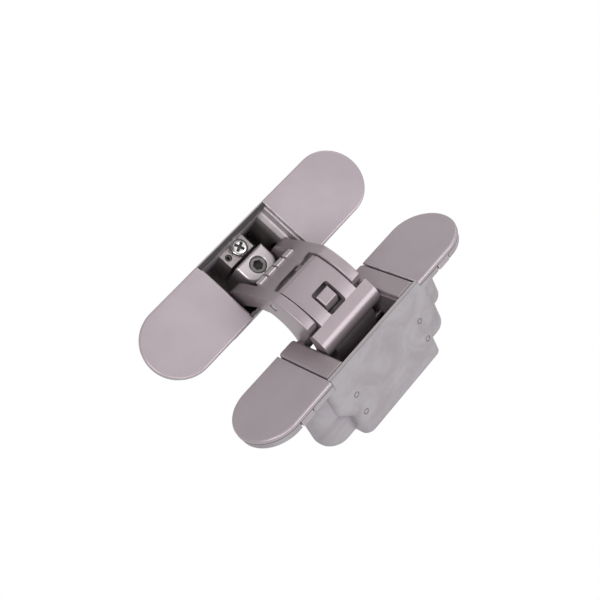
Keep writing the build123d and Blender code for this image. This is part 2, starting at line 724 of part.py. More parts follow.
def build_side_screw():
    with BuildPart() as screw:
        with BuildSketch(face_plane(SIDE_BLOCK_TOP + SIDE_SCREW_L)):
            with Locations((SIDE_SCREW_X, -BLOCK_Z)):
                Circle(SIDE_SCREW_R)
        extrude(amount=SIDE_SCREW_L - SIDE_SCREW_SUNK)
        chamfer(screw.edges().group_by(Axis.Y)[0], PIN_CHAMFER)
        with BuildSketch(face_plane(SIDE_BLOCK_TOP + SIDE_SCREW_SUNK)):
            with Locations((SIDE_SCREW_X, -BLOCK_Z)):
                RegularPolygon(HEX_R, 6)
        extrude(amount=-HEX_DEPTH, mode=Mode.SUBTRACT)
    finish(screw, "side_screw")


def build_clamp_screw():
    """Pan head screw with a cross recess."""
    with BuildPart() as screw:
        with BuildSketch(face_plane(CLAMP_TOP)):
            with Locations((CLAMP_SCREW_X, -CLAMP_SCREW_Z)):
                Circle(CLAMP_HEAD_R)
        extrude(amount=CLAMP_HEAD_T)
        fillet(screw.edges().group_by(Axis.Y)[0], CLAMP_HEAD_ROUND)
        with BuildSketch(face_plane(CLAMP_TOP)):
            with Locations((CLAMP_SCREW_X, -CLAMP_SCREW_Z)):
                Circle(CLAMP_SHANK_R)
        extrude(amount=-CLAMP_SHANK_L)
        with BuildSketch(face_plane(CLAMP_TOP - CLAMP_HEAD_T)):
            with Locations((CLAMP_SCREW_X, -CLAMP_SCREW_Z)):
                Rectangle(CROSS_L, CROSS_W, rotation=CROSS_TURN)
                Rectangle(CROSS_W, CROSS_L, rotation=CROSS_TURN)
        extrude(amount=-CROSS_DEPTH, mode=Mode.SUBTRACT)
    finish(screw, "clamp_screw")


def build_lock_screw():
    with BuildPart() as screw:
        with BuildSketch(face_plane(CLAMP_TOP + LOCK_SUNK)):
            with Locations((LOCK_X, -LOCK_Z)):
                Circle(LOCK_R)
        extrude(amount=-LOCK_L)
        with BuildSketch(face_plane(CLAMP_TOP + LOCK_SUNK)):
            with Locations((LOCK_X, -LOCK_Z)):
                RegularPolygon(LOCK_HEX_R, 6)
        extrude(amount=-LOCK_L / 3, mode=Mode.SUBTRACT)
    finish(screw, "lock_screw")


# ============================================================ put together
ENDS = (("top", 1), ("bottom", -1))

build_housing("frame_housing", FRAME_CAP_EDGE, FRAME_CAP_EDGE, SEAT, 1, False)
build_housing("leaf_housing", LEAF_CAP_EDGE, PAD_OUT + 2 * PART_GAP, PAD_T, -1, True, LEAF_PLACE)
for name, end in ENDS:
    build_cap(f"frame_cap_{name}", FRAME_CAP_EDGE, end)
    build_cap(f"leaf_cap_{name}", LEAF_CAP_EDGE, end, LEAF_PLACE)
    build_carrier(f"frame_carrier_{name}", end, 1, CARRIER_LIP, False)
    build_carrier(f"leaf_carrier_{name}", end, -1, CARRIER_IN, True, LEAF_PLACE)

build_t_arm()
build_fork_arm()
build_bracket()
build_side_block()
build_clamp_block()
build_side_screw()
build_clamp_screw()
build_lock_screw()

build_pin("frame_pivot_pin", FRAME_PIVOT, PIN_R, -LUG_OUT, LUG_OUT)
build_pin("centre_pin", CENTRE, CENTRE_PIN_R, PIN_INSET - ARM_HALF, ARM_HALF - PIN_INSET)
build_pin("leaf_slide_pin", LEAF_SLIDE, SLIDE_PIN_R, -SLEEVE_OUT, SLEEVE_OUT)
for name, end in ENDS:
    low, high = sorted((end * PIN_SEAT, end * SLEEVE_OUT))
    build_pin(f"leaf_pivot_pin_{name}", LEAF_PIVOT, PIN_R, low, high)
    build_pin(f"frame_slide_pin_{name}", FRAME_SLIDE, SLIDE_PIN_R, low, high)
    build_sleeve(f"frame_sleeve_{name}", FRAME_SLIDE, end)
    build_sleeve(f"leaf_sleeve_{name}", LEAF_SLIDE, end)

os.makedirs("parts", exist_ok=True)
for piece in made:
    export_step(piece, f"parts/{piece.label}.step")
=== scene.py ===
# Concealed door hinge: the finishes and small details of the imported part.
# Everything is in the part's own frame, in metres: Z runs along the hinge, the
# frame housing's face looks along -Y, and the leaf housing lies on the -X side.
import json
import math

import bmesh
import bpy
import mathutils.geometry
from mathutils import Matrix, Vector


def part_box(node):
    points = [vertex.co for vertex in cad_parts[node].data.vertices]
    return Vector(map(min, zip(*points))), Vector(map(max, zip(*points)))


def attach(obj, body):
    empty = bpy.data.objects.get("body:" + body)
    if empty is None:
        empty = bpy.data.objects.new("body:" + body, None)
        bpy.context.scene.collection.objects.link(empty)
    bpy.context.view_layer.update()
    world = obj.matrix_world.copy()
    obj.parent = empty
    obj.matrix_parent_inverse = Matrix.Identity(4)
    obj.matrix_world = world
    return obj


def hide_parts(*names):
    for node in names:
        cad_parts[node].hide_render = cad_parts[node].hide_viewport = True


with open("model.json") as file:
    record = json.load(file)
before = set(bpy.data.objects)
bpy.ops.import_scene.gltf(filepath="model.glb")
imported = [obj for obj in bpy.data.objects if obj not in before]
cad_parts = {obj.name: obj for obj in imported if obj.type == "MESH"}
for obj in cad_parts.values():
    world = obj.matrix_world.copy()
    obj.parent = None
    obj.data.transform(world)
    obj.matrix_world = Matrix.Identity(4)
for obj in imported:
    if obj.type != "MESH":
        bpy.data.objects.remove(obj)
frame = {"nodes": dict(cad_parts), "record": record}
nodes = frame["nodes"]
bodies = frame["record"]["behaviour"]["bodies"]
node_body = {node: body for body, members in bodies.items() for node in members}
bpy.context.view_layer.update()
scene = bpy.context.scene

MM = 0.001
PER_MM = 1000.0
QUARTER_TURN = math.radians(90)

# Sizes repeated from the part's source, in millimetres.  A point of the hinge
# plane is given across the gap, and then out from the frame housing's face.
FACE_OUT = 34.0  # from the origin to the frame housing's face
LEAF_TURN = math.radians(47.8)
CENTRE_PIN = (16.862, 14.039)
SLOPE_FOOT = (-9.9, -8.2)  # lower edge of the fork's web, from the centre pin
SLOPE_TOP = (-4.2, 0.4)
TOOTH_PITCH = 4.8
BODY_HALF = 13.5  # half the width of a housing
CAP_T = 1.75
EJECTOR_SPOTS = ((18.2, 14.4), (18.2, 24.0))  # from the middle, below the face
STRAY_DIMPLES = (5.8, 32.6)  # below the face, on a housing's middle line

# Sizes of the details that are added here, in millimetres.
PAD_COUNT = 4
PAD_SIZE = (2.6, 1.3, 4.0)
PAD_UP_SLOPE = 0.35
PAD_PROUD = 0.05
PAD_EDGE = 0.14
LINE_DEPTH = 3.1  # the parting line, below the leaf housing's face
LINE_LENGTH = 25.6
LINE_PITCH = 26.0
LINE_SECTION = (0.12, 0.16)
SEAM_RADIUS = 0.24
SEAM_INSET = 0.22
SEAM_BAND_START = 0.6  # the seam follows the cap's side wall, below its rounded rim
SEAM_SLACK = 0.02
MARK_RADIUS = 1.0
MARK_BEAD = 0.2
RING_SIDES = 40
BEAD_SIDES = 10
SEAM_SIDES = 8
DIMPLE_REACH = 1.3
DIMPLE_DEPTH = 0.6
LEDGE_EDGE = 0.08
# Dark ledges under the arms, painted shade that fills the gaps seen past
# them: body, and reach across, out and along Z, where across and out are
# given from the centre pin.
T_HEAD_ACROSS = (16.45, 18.4)
T_LEDGE_OUT = (2.4, 3.3)
SHADE_LEDGES = {
    "t_window_ledge": ("t_arm", (15.4, 17.6), T_LEDGE_OUT, (-4.5, 4.5)),
    "fork_front_ledge": ("fork_arm", (14.8, 16.7), (-4.7, -3.3), (-14.2, 14.2)),
    "t_head_ledge_bottom": ("t_arm", T_HEAD_ACROSS, T_LEDGE_OUT, (9.9, 14.2)),
    "t_head_ledge_top": ("t_arm", T_HEAD_ACROSS, T_LEDGE_OUT, (-14.2, -9.9)),
}


# ------------------------------------------------------------------- places
def hinge_point(across, out, along=0.0):
    """A point of the hinge plane, in the part's frame."""
    return Vector((-across, -FACE_OUT - out, along)) * MM


def turned(angle):
    return Matrix.Rotation(angle, 3, "Z")


def from_face(place, across, deep, along):
    """Where a point lies that is given from the middle of a housing's face,
    in millimetres across it, into the housing and along Z."""
    middle, turn = place
    return middle + turned(turn) @ (Vector((across, deep, along)) * MM)


def to_face(place, point):
    """The same the other way round."""
    middle, turn = place
    return turned(-turn) @ (point - middle) / MM


# Middle of each housing's face, and the housing's turn.  The leaf's face lies
# as far past the centre pin as the frame's lies before it.
FRAME_PLACE = (hinge_point(0, 0), 0.0)
LEAF_PLACE = (
    hinge_point(*CENTRE_PIN) + turned(LEAF_TURN) @ Vector((-CENTRE_PIN[0], CENTRE_PIN[1], 0)) * MM,
    LEAF_TURN,
)
HOUSING_PLACES = {"frame_housing": FRAME_PLACE, "leaf_housing": LEAF_PLACE}


# ------------------------------------------------------------ node helpers
NODE_STEP = 220


def feed(tree, socket, value):
    """Feed a socket from another one, or set it to a plain value."""
    if isinstance(value, bpy.types.NodeSocket):
        tree.links.new(value, socket)
    elif socket.type == "RGBA":
        socket.default_value = (*value, 1)
    else:
        socket.default_value = value


def new_node(tree, kind, inputs=None, **settings):
    """Add a node to the right of the others, with its settings and inputs."""
    node = tree.nodes.new(kind)
    node.location = (NODE_STEP * len(tree.nodes), 0)
    for name, value in settings.items():
        setattr(node, name, value)
    for name, value in (inputs or {}).items():
        feed(tree, node.inputs[name], value)
    return node


def shader_group(name, inputs, outputs):
    """An empty shader node group with named sockets.  An input whose value
    is None is a vector, and the others are numbers."""
    group = bpy.data.node_groups.new(name, "ShaderNodeTree")
    for label, value in inputs.items():
        kind = "NodeSocketVector" if value is None else "NodeSocketFloat"
        socket = group.interface.new_socket(label, in_out="INPUT", socket_type=kind)
        if value is not None:
            socket.default_value = value
    for label in outputs:
        group.interface.new_socket(label, in_out="OUTPUT", socket_type="NodeSocketFloat")
    given = new_node(group, "NodeGroupInput").outputs
    out = new_node(group, "NodeGroupOutput").inputs
    return group, given, out


def calc(tree, operation, a, b=0.0, clamp=False):
    """Output of a math node fed by sockets or numbers."""
    return new_node(tree, "ShaderNodeMath", {0: a, 1: b}, operation=operation, use_clamp=clamp).outputs[0]


def object_coords(tree):
    return new_node(tree, "ShaderNodeTexCoord").outputs["Object"]


def noise(tree, coords, scale, detail, rough, distortion=0.0):
    inputs = {
        "Vector": coords, "Scale": scale, "Detail": detail, "Roughness": rough, "Distortion": distortion,
    }
    return new_node(tree, "ShaderNodeTexNoise", inputs).outputs["Fac"]


def scale_of(tree, size):
    """Texture scale for marks of a size that is given in millimetres."""
    return calc(tree, "DIVIDE", PER_MM, size)


# --------------------------------------------------- shared surface effects
PIT_RADIUS = 0.6  # of a cell, at a share of 1


def make_cast_skin():
    """Bare die casting: blotches of cold flow, a sandy skin and small pits,
    which lie in the higher parts of a ripple."""
    group, given, out = shader_group(
        "cast_skin",
        {
            "Blotch Size": 14.0, "Grain Size": 0.9, "Pit Size": 2.4, "Pit Share": 0.3, "Pit Level": 0.56,
            "Grain Height": 0.55, "Ripple Height": 0.6, "Pit Depth": 0.5,
        },
        ["Blotch", "Height", "Pits"],
    )
    coords = object_coords(group)
    pit_scale = scale_of(group, given["Pit Size"])
    blotch_scale = scale_of(group, given["Blotch Size"])
    grain_scale = scale_of(group, given["Grain Size"])
    blotch = noise(group, coords, blotch_scale, detail=5.0, rough=0.6, distortion=0.8)
    grain = noise(group, coords, grain_scale, detail=3.0, rough=0.65)
    ripple = noise(group, coords, pit_scale, detail=2.0, rough=0.5)
    cells = new_node(group, "ShaderNodeTexVoronoi", {"Vector": coords, "Scale": pit_scale}, feature="F1")
    pit_edge = calc(group, "MULTIPLY", given["Pit Share"], PIT_RADIUS)
    near = calc(group, "LESS_THAN", cells.outputs["Distance"], pit_edge)
    high = calc(group, "GREATER_THAN", ripple, given["Pit Level"])
    pits = calc(group, "MULTIPLY", near, high)
    height = calc(group, "MULTIPLY", grain, given["Grain Height"])
    height = calc(group, "ADD", height, calc(group, "MULTIPLY", ripple, given["Ripple Height"]))
    height = calc(group, "SUBTRACT", height, calc(group, "MULTIPLY", pits, given["Pit Depth"]))
    feed(group, out["Blotch"], blotch)
    feed(group, out["Height"], height)
    feed(group, out["Pits"], pits)
    return group


def make_satin_skin():
    """Satin plating: a fine even grain over very faint clouding, with specks."""
    group, given, out = shader_group(
        "satin_skin",
        {"Grain Size": 0.28, "Cloud Size": 22.0, "Speck Size": 1.4, "Speck Level": 0.66, "Speck Edge": 9.0},
        ["Cloud", "Height", "Specks"],
    )
    coords = object_coords(group)
    cloud_scale = scale_of(group, given["Cloud Size"])
    grain_scale = scale_of(group, given["Grain Size"])
    speck_scale = scale_of(group, given["Speck Size"])
    cloud = noise(group, coords, cloud_scale, detail=4.0, rough=0.55, distortion=0.4)
    grain = noise(group, coords, grain_scale, detail=2.0, rough=0.6)
    specks = noise(group, coords, speck_scale, detail=4.0, rough=0.7)
    specks = calc(group, "SUBTRACT", specks, given["Speck Level"])
    specks = calc(group, "MULTIPLY", specks, given["Speck Edge"], clamp=True)
    feed(group, out["Cloud"], cloud)
    feed(group, out["Height"], grain)
    feed(group, out["Specks"], specks)
    return group


def make_edge_rub_and_sheen():
    """Mask of edges that are rubbed and carry a painted highlight, broken up along their length."""
    group, given, out = shader_group(
        "edge_rub_and_sheen",
        {"Edge": 0.0, "Breakup Size": 3.0, "Breakup Level": 0.32, "Contrast": 3.2, "Amount": 0.7},
        ["Wear"],
    )
    scale = scale_of(group, given["Breakup Size"])
    breaks = noise(group, object_coords(group), scale, detail=3.0, rough=0.6)
    level = calc(group, "SUBTRACT", breaks, given["Breakup Level"])
    level = calc(group, "MULTIPLY", level, given["Contrast"], clamp=True)
    rub_sheen = calc(group, "MULTIPLY", given["Edge"], level)
    feed(group, out["Wear"], calc(group, "MULTIPLY", rub_sheen, given["Amount"], clamp=True))
    return group


def make_pocket_shade():
    """Mask of the painted shade inside a housing's pocket, where little light
    reaches, and of a painted tone on its rim.  Place is given from the middle
    of the face, with y into the housing.  The pocket is longer at its lip, and
    below the lip the mask keeps off the rounded corners."""
    group, given, out = shader_group(
        "pocket_shade",
        {
            "Place": None, "Side Low": -11.4, "Side High": 11.6, "Half Length": 19.8,
            "Start": 0.5, "End": 33.2, "Fade": 3.0, "Rim Depth": 2.0,
            "Lip Depth": 4.0, "Lip Length": 4.4, "Half Width Below": 11.8,
        },
        ["Shade", "Inward"],
    )
    split = new_node(group, "ShaderNodeSeparateXYZ", {0: given["Place"]}).outputs
    across, deep, along = [calc(group, "MULTIPLY", split[axis], PER_MM) for axis in "XYZ"]
    shallow = calc(group, "LESS_THAN", deep, given["Lip Depth"])
    narrow = calc(group, "LESS_THAN", calc(group, "ABSOLUTE", across), given["Half Width Below"])
    lip = calc(group, "MULTIPLY", shallow, given["Lip Length"])
    reach = calc(group, "ADD", given["Half Length"], lip)
    bounds = [
        calc(group, "GREATER_THAN", across, given["Side Low"]),
        calc(group, "LESS_THAN", across, given["Side High"]),
        calc(group, "LESS_THAN", calc(group, "ABSOLUTE", along), reach),
        calc(group, "LESS_THAN", deep, given["End"]),
        calc(group, "MAXIMUM", shallow, narrow),
    ]
    shade = calc(group, "SUBTRACT", deep, given["Start"])
    shade = calc(group, "DIVIDE", shade, given["Fade"], clamp=True)
    for bound in bounds:
        shade = calc(group, "MULTIPLY", shade, bound)
    feed(group, out["Shade"], shade)
    feed(group, out["Inward"], calc(group, "DIVIDE", deep, given["Rim Depth"], clamp=True))
    return group


CAST_SKIN = make_cast_skin()
POCKET_SHADE = make_pocket_shade()
SATIN_SKIN = make_satin_skin()
EDGE_RUB_AND_SHEEN = make_edge_rub_and_sheen()


# ---------------------------------------------------------------- materials
EVEN_SPREAD = (0.35, 0.65)
BLOTCH_SPREAD = (0.38, 0.62)
RIM_SPREAD = (0.1, 0.9)
SCRATCH_STRETCH = (1.0, 6.0, 1.0)


def start_material(name):
    material = bpy.data.materials.new(name)
    material.use_nodes = True
    tree = material.node_tree
    return material, tree, tree.nodes["Principled BSDF"]


def effect(tree, group, values):
    """Place a shared surface effect in a material; returns its outputs."""
    node = new_node(tree, "ShaderNodeGroup", node_tree=group)
    for name, value in values.items():
        feed(tree, node.inputs[name], value)
    return node.outputs


def edge_rub_and_sheen_mask(tree, breakup_size, amount):
    """Mask of the rubbed edges and their painted highlight, from the attribute that broken edges carry."""
    edge = new_node(tree, "ShaderNodeAttribute", attribute_name="edge").outputs["Fac"]
    return effect(tree, EDGE_RUB_AND_SHEEN, {"Breakup Size": breakup_size, "Amount": amount, "Edge": edge})["Wear"]


def two_tones(tree, factor, tones, spread):
    """Colour that runs from the first tone to the second with a value."""
    ramp = new_node(tree, "ShaderNodeValToRGB", {"Fac": factor})
    for stop, tone, position in zip(ramp.color_ramp.elements, tones, spread):
        stop.position = position
        stop.color = (*tone, 1)
    return ramp.outputs["Color"]


def blend(tree, factor, a, b):
    """Colour a, or colour b where the factor is 1."""
    inputs = {"Factor": factor, "A": a, "B": b}
    return new_node(tree, "ShaderNodeMix", inputs, data_type="RGBA").outputs["Result"]


def vary(tree, level, middle, spread):
    """Value that strays from the middle with a level between 0 and 1."""
    return calc(tree, "ADD", calc(tree, "MULTIPLY", level, spread), middle - spread / 2)


def relief(tree, height, strength, depth):
    """Normal of a relief whose depth is given in millimetres."""
    inputs = {"Strength": strength, "Distance": depth * MM, "Height": height}
    return new_node(tree, "ShaderNodeBump", inputs).outputs["Normal"]


def coat(tree, shader, colour, roughness, metallic, normal):
    """Connect the finished values to the material's shader."""
    feed(tree, shader.inputs["Roughness"], roughness)
    feed(tree, shader.inputs["Metallic"], metallic)
    feed(tree, shader.inputs["Normal"], normal)
    feed(tree, shader.inputs["Base Color"], colour)


def satin_metal(name, tones, rub_sheen_tone, metallic, rough, grain_depth, rub_sheen_amount):
    """Satin plated zinc, a little brighter along its edges: rubbed wear and a painted highlight."""
    material, tree, shader = start_material(name)
    skin = effect(tree, SATIN_SKIN, {})
    rub_sheen = edge_rub_and_sheen_mask(tree, breakup_size=4.0, amount=rub_sheen_amount)
    speck_tone = tuple(0.8 * part for part in tones[0])
    colour = two_tones(tree, skin["Cloud"], tones, EVEN_SPREAD)
    colour = blend(tree, skin["Specks"], colour, speck_tone)
    colour = blend(tree, rub_sheen, colour, rub_sheen_tone)
    polish = calc(tree, "MULTIPLY", rub_sheen, 0.12)
    roughness = calc(tree, "SUBTRACT", vary(tree, skin["Cloud"], rough, spread=0.14), polish)
    normal = relief(tree, skin["Height"], strength=0.35, depth=grain_depth)
    coat(tree, shader, colour, roughness, metallic, normal)
    return material


def pocket_colour(tree, colour, place, reach, painted_rim_tone, painted_inner_shade):
    """Paint shade into a housing's colour inside its pocket, with a painted tone on its rim."""
    middle, turn = place
    inputs = {"Vector": object_coords(tree), "Location": middle, "Rotation": (0, 0, turn)}
    local = new_node(tree, "ShaderNodeMapping", inputs, vector_type="TEXTURE")
    shade = effect(tree, POCKET_SHADE, {"Place": local.outputs["Vector"], **reach})
    inner = two_tones(tree, shade["Inward"], (painted_rim_tone, painted_inner_shade), RIM_SPREAD)
    return blend(tree, shade["Shade"], colour, inner)


def bare_casting(name, tones, rub_sheen_tone, pit_tone, metallic, rough, depth, sizes, pocket=None):
    """Bare die-cast zinc with a mottled, slightly sandy skin, and edges brighter
    with wear and a painted highlight.  The last argument holds what the
    pocket's painted shade asks for."""
    material, tree, shader = start_material(name)
    skin = effect(tree, CAST_SKIN, sizes)
    rub_sheen = edge_rub_and_sheen_mask(tree, breakup_size=3.0, amount=0.55)
    colour = two_tones(tree, skin["Blotch"], tones, BLOTCH_SPREAD)
    colour = blend(tree, skin["Pits"], colour, pit_tone)
    colour = blend(tree, rub_sheen, colour, rub_sheen_tone)
    if pocket:
        colour = pocket_colour(tree, colour, **pocket)
    roughness = vary(tree, skin["Blotch"], rough, spread=-0.3)
    normal = relief(tree, skin["Height"], strength=0.6, depth=depth)
    coat(tree, shader, colour, roughness, metallic, normal)
    return material


def machined_steel(name, tones, rough, scratch_size, cloud_size=6.25):
    """Turned or plated steel with fine scratches."""
    material, tree, shader = start_material(name)
    coords = object_coords(tree)
    stretched = new_node(tree, "ShaderNodeMapping", {"Vector": coords, "Scale": SCRATCH_STRETCH})
    lines = noise(tree, stretched.outputs["Vector"], PER_MM / scratch_size, detail=3.0, rough=0.6)
    clouds = noise(tree, coords, PER_MM / cloud_size, detail=2.0, rough=0.5)
    colour = two_tones(tree, clouds, tones, EVEN_SPREAD)
    roughness = vary(tree, lines, rough, spread=0.16)
    normal = relief(tree, lines, strength=0.25, depth=0.02)
    coat(tree, shader, colour, roughness, 1.0, normal)
    return material


# Tones are linear red, green and blue, and sizes and depths are millimetres.
# The edges' tone is rubbed zinc with a painted highlight.
HOUSING_CASTING = {
    "tones": ((0.335, 0.303, 0.326), (0.39, 0.37, 0.392)), "rub_sheen_tone": (0.56, 0.53, 0.555),
    "pit_tone": (0.24, 0.22, 0.235), "metallic": 0.3, "rough": 0.52, "depth": 0.16,
    "sizes": {"Blotch Size": 13.0, "Grain Size": 0.8, "Pit Size": 3.4, "Pit Share": 0.05},
}
SMALL_CASTING = {"Blotch Size": 7.0, "Grain Size": 0.5, "Pit Size": 2.2, "Pit Share": 0.06}
FINISHES = {
    "satin_face": satin_metal(
        "cap_satin", ((0.377, 0.325, 0.35), (0.412, 0.357, 0.384)), rub_sheen_tone=(0.72, 0.655, 0.69),
        metallic=0.4, rough=0.36, grain_depth=0.05, rub_sheen_amount=0.7,
    ),
    # The fork's pads: the arm's satin made paler, as a painted highlight.
    "finger_satin_painted_highlight": satin_metal(
        "finger_satin_painted_highlight", ((0.62, 0.56, 0.575), (0.70, 0.64, 0.655)), rub_sheen_tone=(0.92, 0.87, 0.89),
        metallic=0.5, rough=0.33, grain_depth=0.05, rub_sheen_amount=0.9,
    ),
    "satin_arm": satin_metal(
        "arm_satin", ((0.315, 0.268, 0.288), (0.35, 0.298, 0.32)), rub_sheen_tone=(0.78, 0.71, 0.74),
        metallic=0.5, rough=0.37, grain_depth=0.06, rub_sheen_amount=0.85,
    ),
    # Frame: shade painted into the pocket, and the rim painted near black as a shadow line.
    "frame_cast_zinc": bare_casting(
        "frame_body_casting", **HOUSING_CASTING,
        pocket={
            "place": FRAME_PLACE, "painted_rim_tone": (0.03, 0.027, 0.026), "painted_inner_shade": (0.165, 0.142, 0.138),
            "reach": {"Side Low": -13.48, "Side High": 13.48, "Half Length": 19.7, "Start": -3.0},
        },
    ),
    # Leaf: shade painted into the pocket, and the rim painted paler than the casting as a lit strip.
    "leaf_cast_zinc": bare_casting(
        "leaf_body_casting", **HOUSING_CASTING,
        pocket={
            "place": LEAF_PLACE, "painted_rim_tone": (0.50, 0.455, 0.455), "painted_inner_shade": (0.125, 0.107, 0.104),
            "reach": {"Side Low": -13.3, "Start": -3.0},
        },
    ),
    # Carriers and bracket: pale zinc made paler still with painted light at the pocket's lip, and shade
    # painted in from 5 mm down the frame's pocket.
    "pocket_zinc": bare_casting(
        "pocket_casting", ((0.50, 0.445, 0.465), (0.57, 0.51, 0.53)), rub_sheen_tone=(0.85, 0.79, 0.82),
        pit_tone=(0.26, 0.23, 0.24), metallic=0.35, rough=0.45, depth=0.06,
        sizes={"Blotch Size": 9.0, "Grain Size": 0.6, "Pit Size": 2.2, "Pit Share": 0.06},
        pocket={
            "place": FRAME_PLACE, "painted_rim_tone": (0.37, 0.33, 0.345), "painted_inner_shade": (0.14, 0.12, 0.12),
            "reach": {"Side Low": -14.0, "Side High": 14.0, "Half Length": 24.0, "Start": 5.0, "Fade": 9.0},
        },
    ),
    # The side and clamp blocks in the pocket: their own satin and warm grey, made paler with painted light
    # for the light they lack down there.
    "block_zinc_painted_light": satin_metal(
        "block_satin_painted_light", ((0.60, 0.545, 0.56), (0.68, 0.62, 0.64)), rub_sheen_tone=(0.90, 0.85, 0.87),
        metallic=0.5, rough=0.32, grain_depth=0.05, rub_sheen_amount=0.9,
    ),
    "clamp_zinc_painted_light": bare_casting(
        "clamp_casting_painted_light", ((0.43, 0.39, 0.385), (0.52, 0.475, 0.47)), rub_sheen_tone=(0.80, 0.75, 0.75),
        pit_tone=(0.24, 0.21, 0.21), metallic=0.45, rough=0.38, depth=0.05, sizes=SMALL_CASTING,
    ),
    "mark_zinc": bare_casting(
        "ejector_mark_casting", ((0.15, 0.135, 0.145), (0.22, 0.20, 0.21)), rub_sheen_tone=(0.3, 0.28, 0.29),
        pit_tone=(0.1, 0.09, 0.095), metallic=0.3, rough=0.5, depth=0.05,
        sizes={**SMALL_CASTING, "Blotch Size": 2.0},
    ),
    # Near-black finish for painted shade: cap shadow lines, ledges, screw recesses and the clamp screw's
    # ring.
    "painted_shade_dark": bare_casting(
        "painted_shade_dark", ((0.10, 0.09, 0.09), (0.14, 0.125, 0.125)), rub_sheen_tone=(0.2, 0.18, 0.18),
        pit_tone=(0.05, 0.045, 0.045), metallic=0.2, rough=0.6, depth=0.05, sizes=SMALL_CASTING,
    ),
    # Black steel of the lock screw, and the finish of the painted shadow ring round the side screw.
    "black_steel_and_painted_shade": machined_steel(
        "black_socket_steel_and_painted_shade", ((0.075, 0.068, 0.068), (0.11, 0.10, 0.10)), rough=0.32, scratch_size=0.5
    ),
    "dark_steel": machined_steel(
        "side_screw_steel", ((0.16, 0.15, 0.15), (0.22, 0.205, 0.205)), rough=0.32, scratch_size=0.5
    ),
    "bright_steel": machined_steel(
        "screw_plating", ((0.66, 0.64, 0.64), (0.82, 0.80, 0.80)), rough=0.22, scratch_size=0.6
    ),
    "pin_steel": machined_steel(
        "pin_ground_steel", ((0.36, 0.34, 0.35), (0.46, 0.44, 0.45)), rough=0.34, scratch_size=0.4
    ),
}


# ------------------------------------------------------------ dressed nodes
MERGE_GAP = 1e-6
FLAT_ANGLE = math.radians(0.6)
SHARP_ANGLE = math.radians(28)
CREASE_ANGLE = math.radians(40)


def fill_dimples(shape, place):
    """Bring the floor of each stray dimple up to the housing's side wall."""
    for vert in shape.verts:
        spot = to_face(place, vert.co)
        in_dimple = any(math.hypot(spot.y - deep, spot.z) < DIMPLE_REACH for deep in STRAY_DIMPLES)
        if in_dimple and BODY_HALF - DIMPLE_DEPTH < abs(spot.x) < BODY_HALF:
            spot.x = math.copysign(BODY_HALF, spot.x)
            vert.co = from_face(place, *spot)


def rounded_copy(node, edge, segments):
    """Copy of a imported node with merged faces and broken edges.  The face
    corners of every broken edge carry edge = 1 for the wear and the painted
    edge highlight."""
    name = node + "_skin"
    data = nodes[node].data.copy()
    data.name = name
    shape = bmesh.new()
    shape.from_mesh(data)
    if node in HOUSING_PLACES:
        fill_dimples(shape, HOUSING_PLACES[node])
    bmesh.ops.remove_doubles(shape, verts=shape.verts, dist=MERGE_GAP)
    bmesh.ops.dissolve_limit(
        shape, angle_limit=FLAT_ANGLE, verts=shape.verts, edges=shape.edges, delimit=set()
    )
    sharp = [e for e in shape.edges if e.is_manifold and e.calc_face_angle(0.0) > SHARP_ANGLE]
    broken = bmesh.ops.bevel(
        shape, geom=sharp, offset=edge * MM, offset_type="OFFSET", segments=segments, profile=0.5,
        affect="EDGES", clamp_overlap=True, miter_outer="ARC",
    )
    mask = shape.loops.layers.float.new("edge")
    for face in broken["faces"]:
        for loop in face.loops:
            loop[mask] = 1.0
    for face in shape.faces:
        face.smooth = True
    shape.to_mesh(data)
    shape.free()
    data.set_sharp_from_angle(angle=CREASE_ANGLE)
    obj = bpy.data.objects.new(name, data)
    scene.collection.objects.link(obj)
    even = obj.modifiers.new("even_shading", "WEIGHTED_NORMAL")
    even.keep_sharp = True
    return obj


def dress(node, finish, edge, segments):
    """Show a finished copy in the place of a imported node."""
    obj = rounded_copy(node, edge, segments)
    obj.data.materials.clear()
    obj.data.materials.append(FINISHES[finish])
    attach(obj, node_body[node])
    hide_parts(node)
    return obj


def both_ends(*stems):
    return [stem + end for stem in stems for end in ("_top", "_bottom")]


PINS = ["frame_pivot_pin", "centre_pin", "leaf_slide_pin"]
PINS += both_ends("leaf_pivot_pin", "frame_slide_pin", "frame_sleeve", "leaf_sleeve")
# Nodes, slot, finish, width of the broken edges in millimetres, segments.
DRESS_PLAN = [
    (["frame_housing"], "cast_zinc", "frame_cast_zinc", 0.35, 2),
    (["leaf_housing"], "cast_zinc", "leaf_cast_zinc", 0.45, 3),
    (both_ends("frame_cap", "leaf_cap"), "satin_face", "satin_face", 0.3, 3),
    (both_ends("frame_carrier"), "pocket_zinc", "pocket_zinc", 0.3, 2),
    (both_ends("leaf_carrier"), "satin_arm", "satin_arm", 0.5, 3),
    (["t_arm"], "satin_arm", "satin_arm", 0.35, 3),
    (["fork_arm"], "satin_arm", "satin_arm", 0.3, 3),
    (["frame_bracket"], "pocket_zinc", "pocket_zinc", 0.3, 2),
    (["side_block"], "pocket_zinc", "block_zinc_painted_light", 0.35, 3),
    (["clamp_block"], "pocket_zinc", "clamp_zinc_painted_light", 0.3, 2),
    (["side_screw"], "pin_steel", "dark_steel", 0.12, 2),
    (["clamp_screw"], "bright_steel", "bright_steel", 0.12, 2),
    (["lock_screw"], "pin_steel", "black_steel_and_painted_shade", 0.08, 2),
    (PINS, "pin_steel", "pin_steel", 0.08, 2),
]
dressed = {}
for members, slot, finish, edge, segments in DRESS_PLAN:
    for node in members:
        dressed[node] = dress(node, finish, edge, segments)


def screw_head(node):
    """Middle of the outer end of a screw that lies along Y."""
    low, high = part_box(node)
    return Vector(((low[0] + high[0]) / 2, low[1], (low[2] + high[2]) / 2))


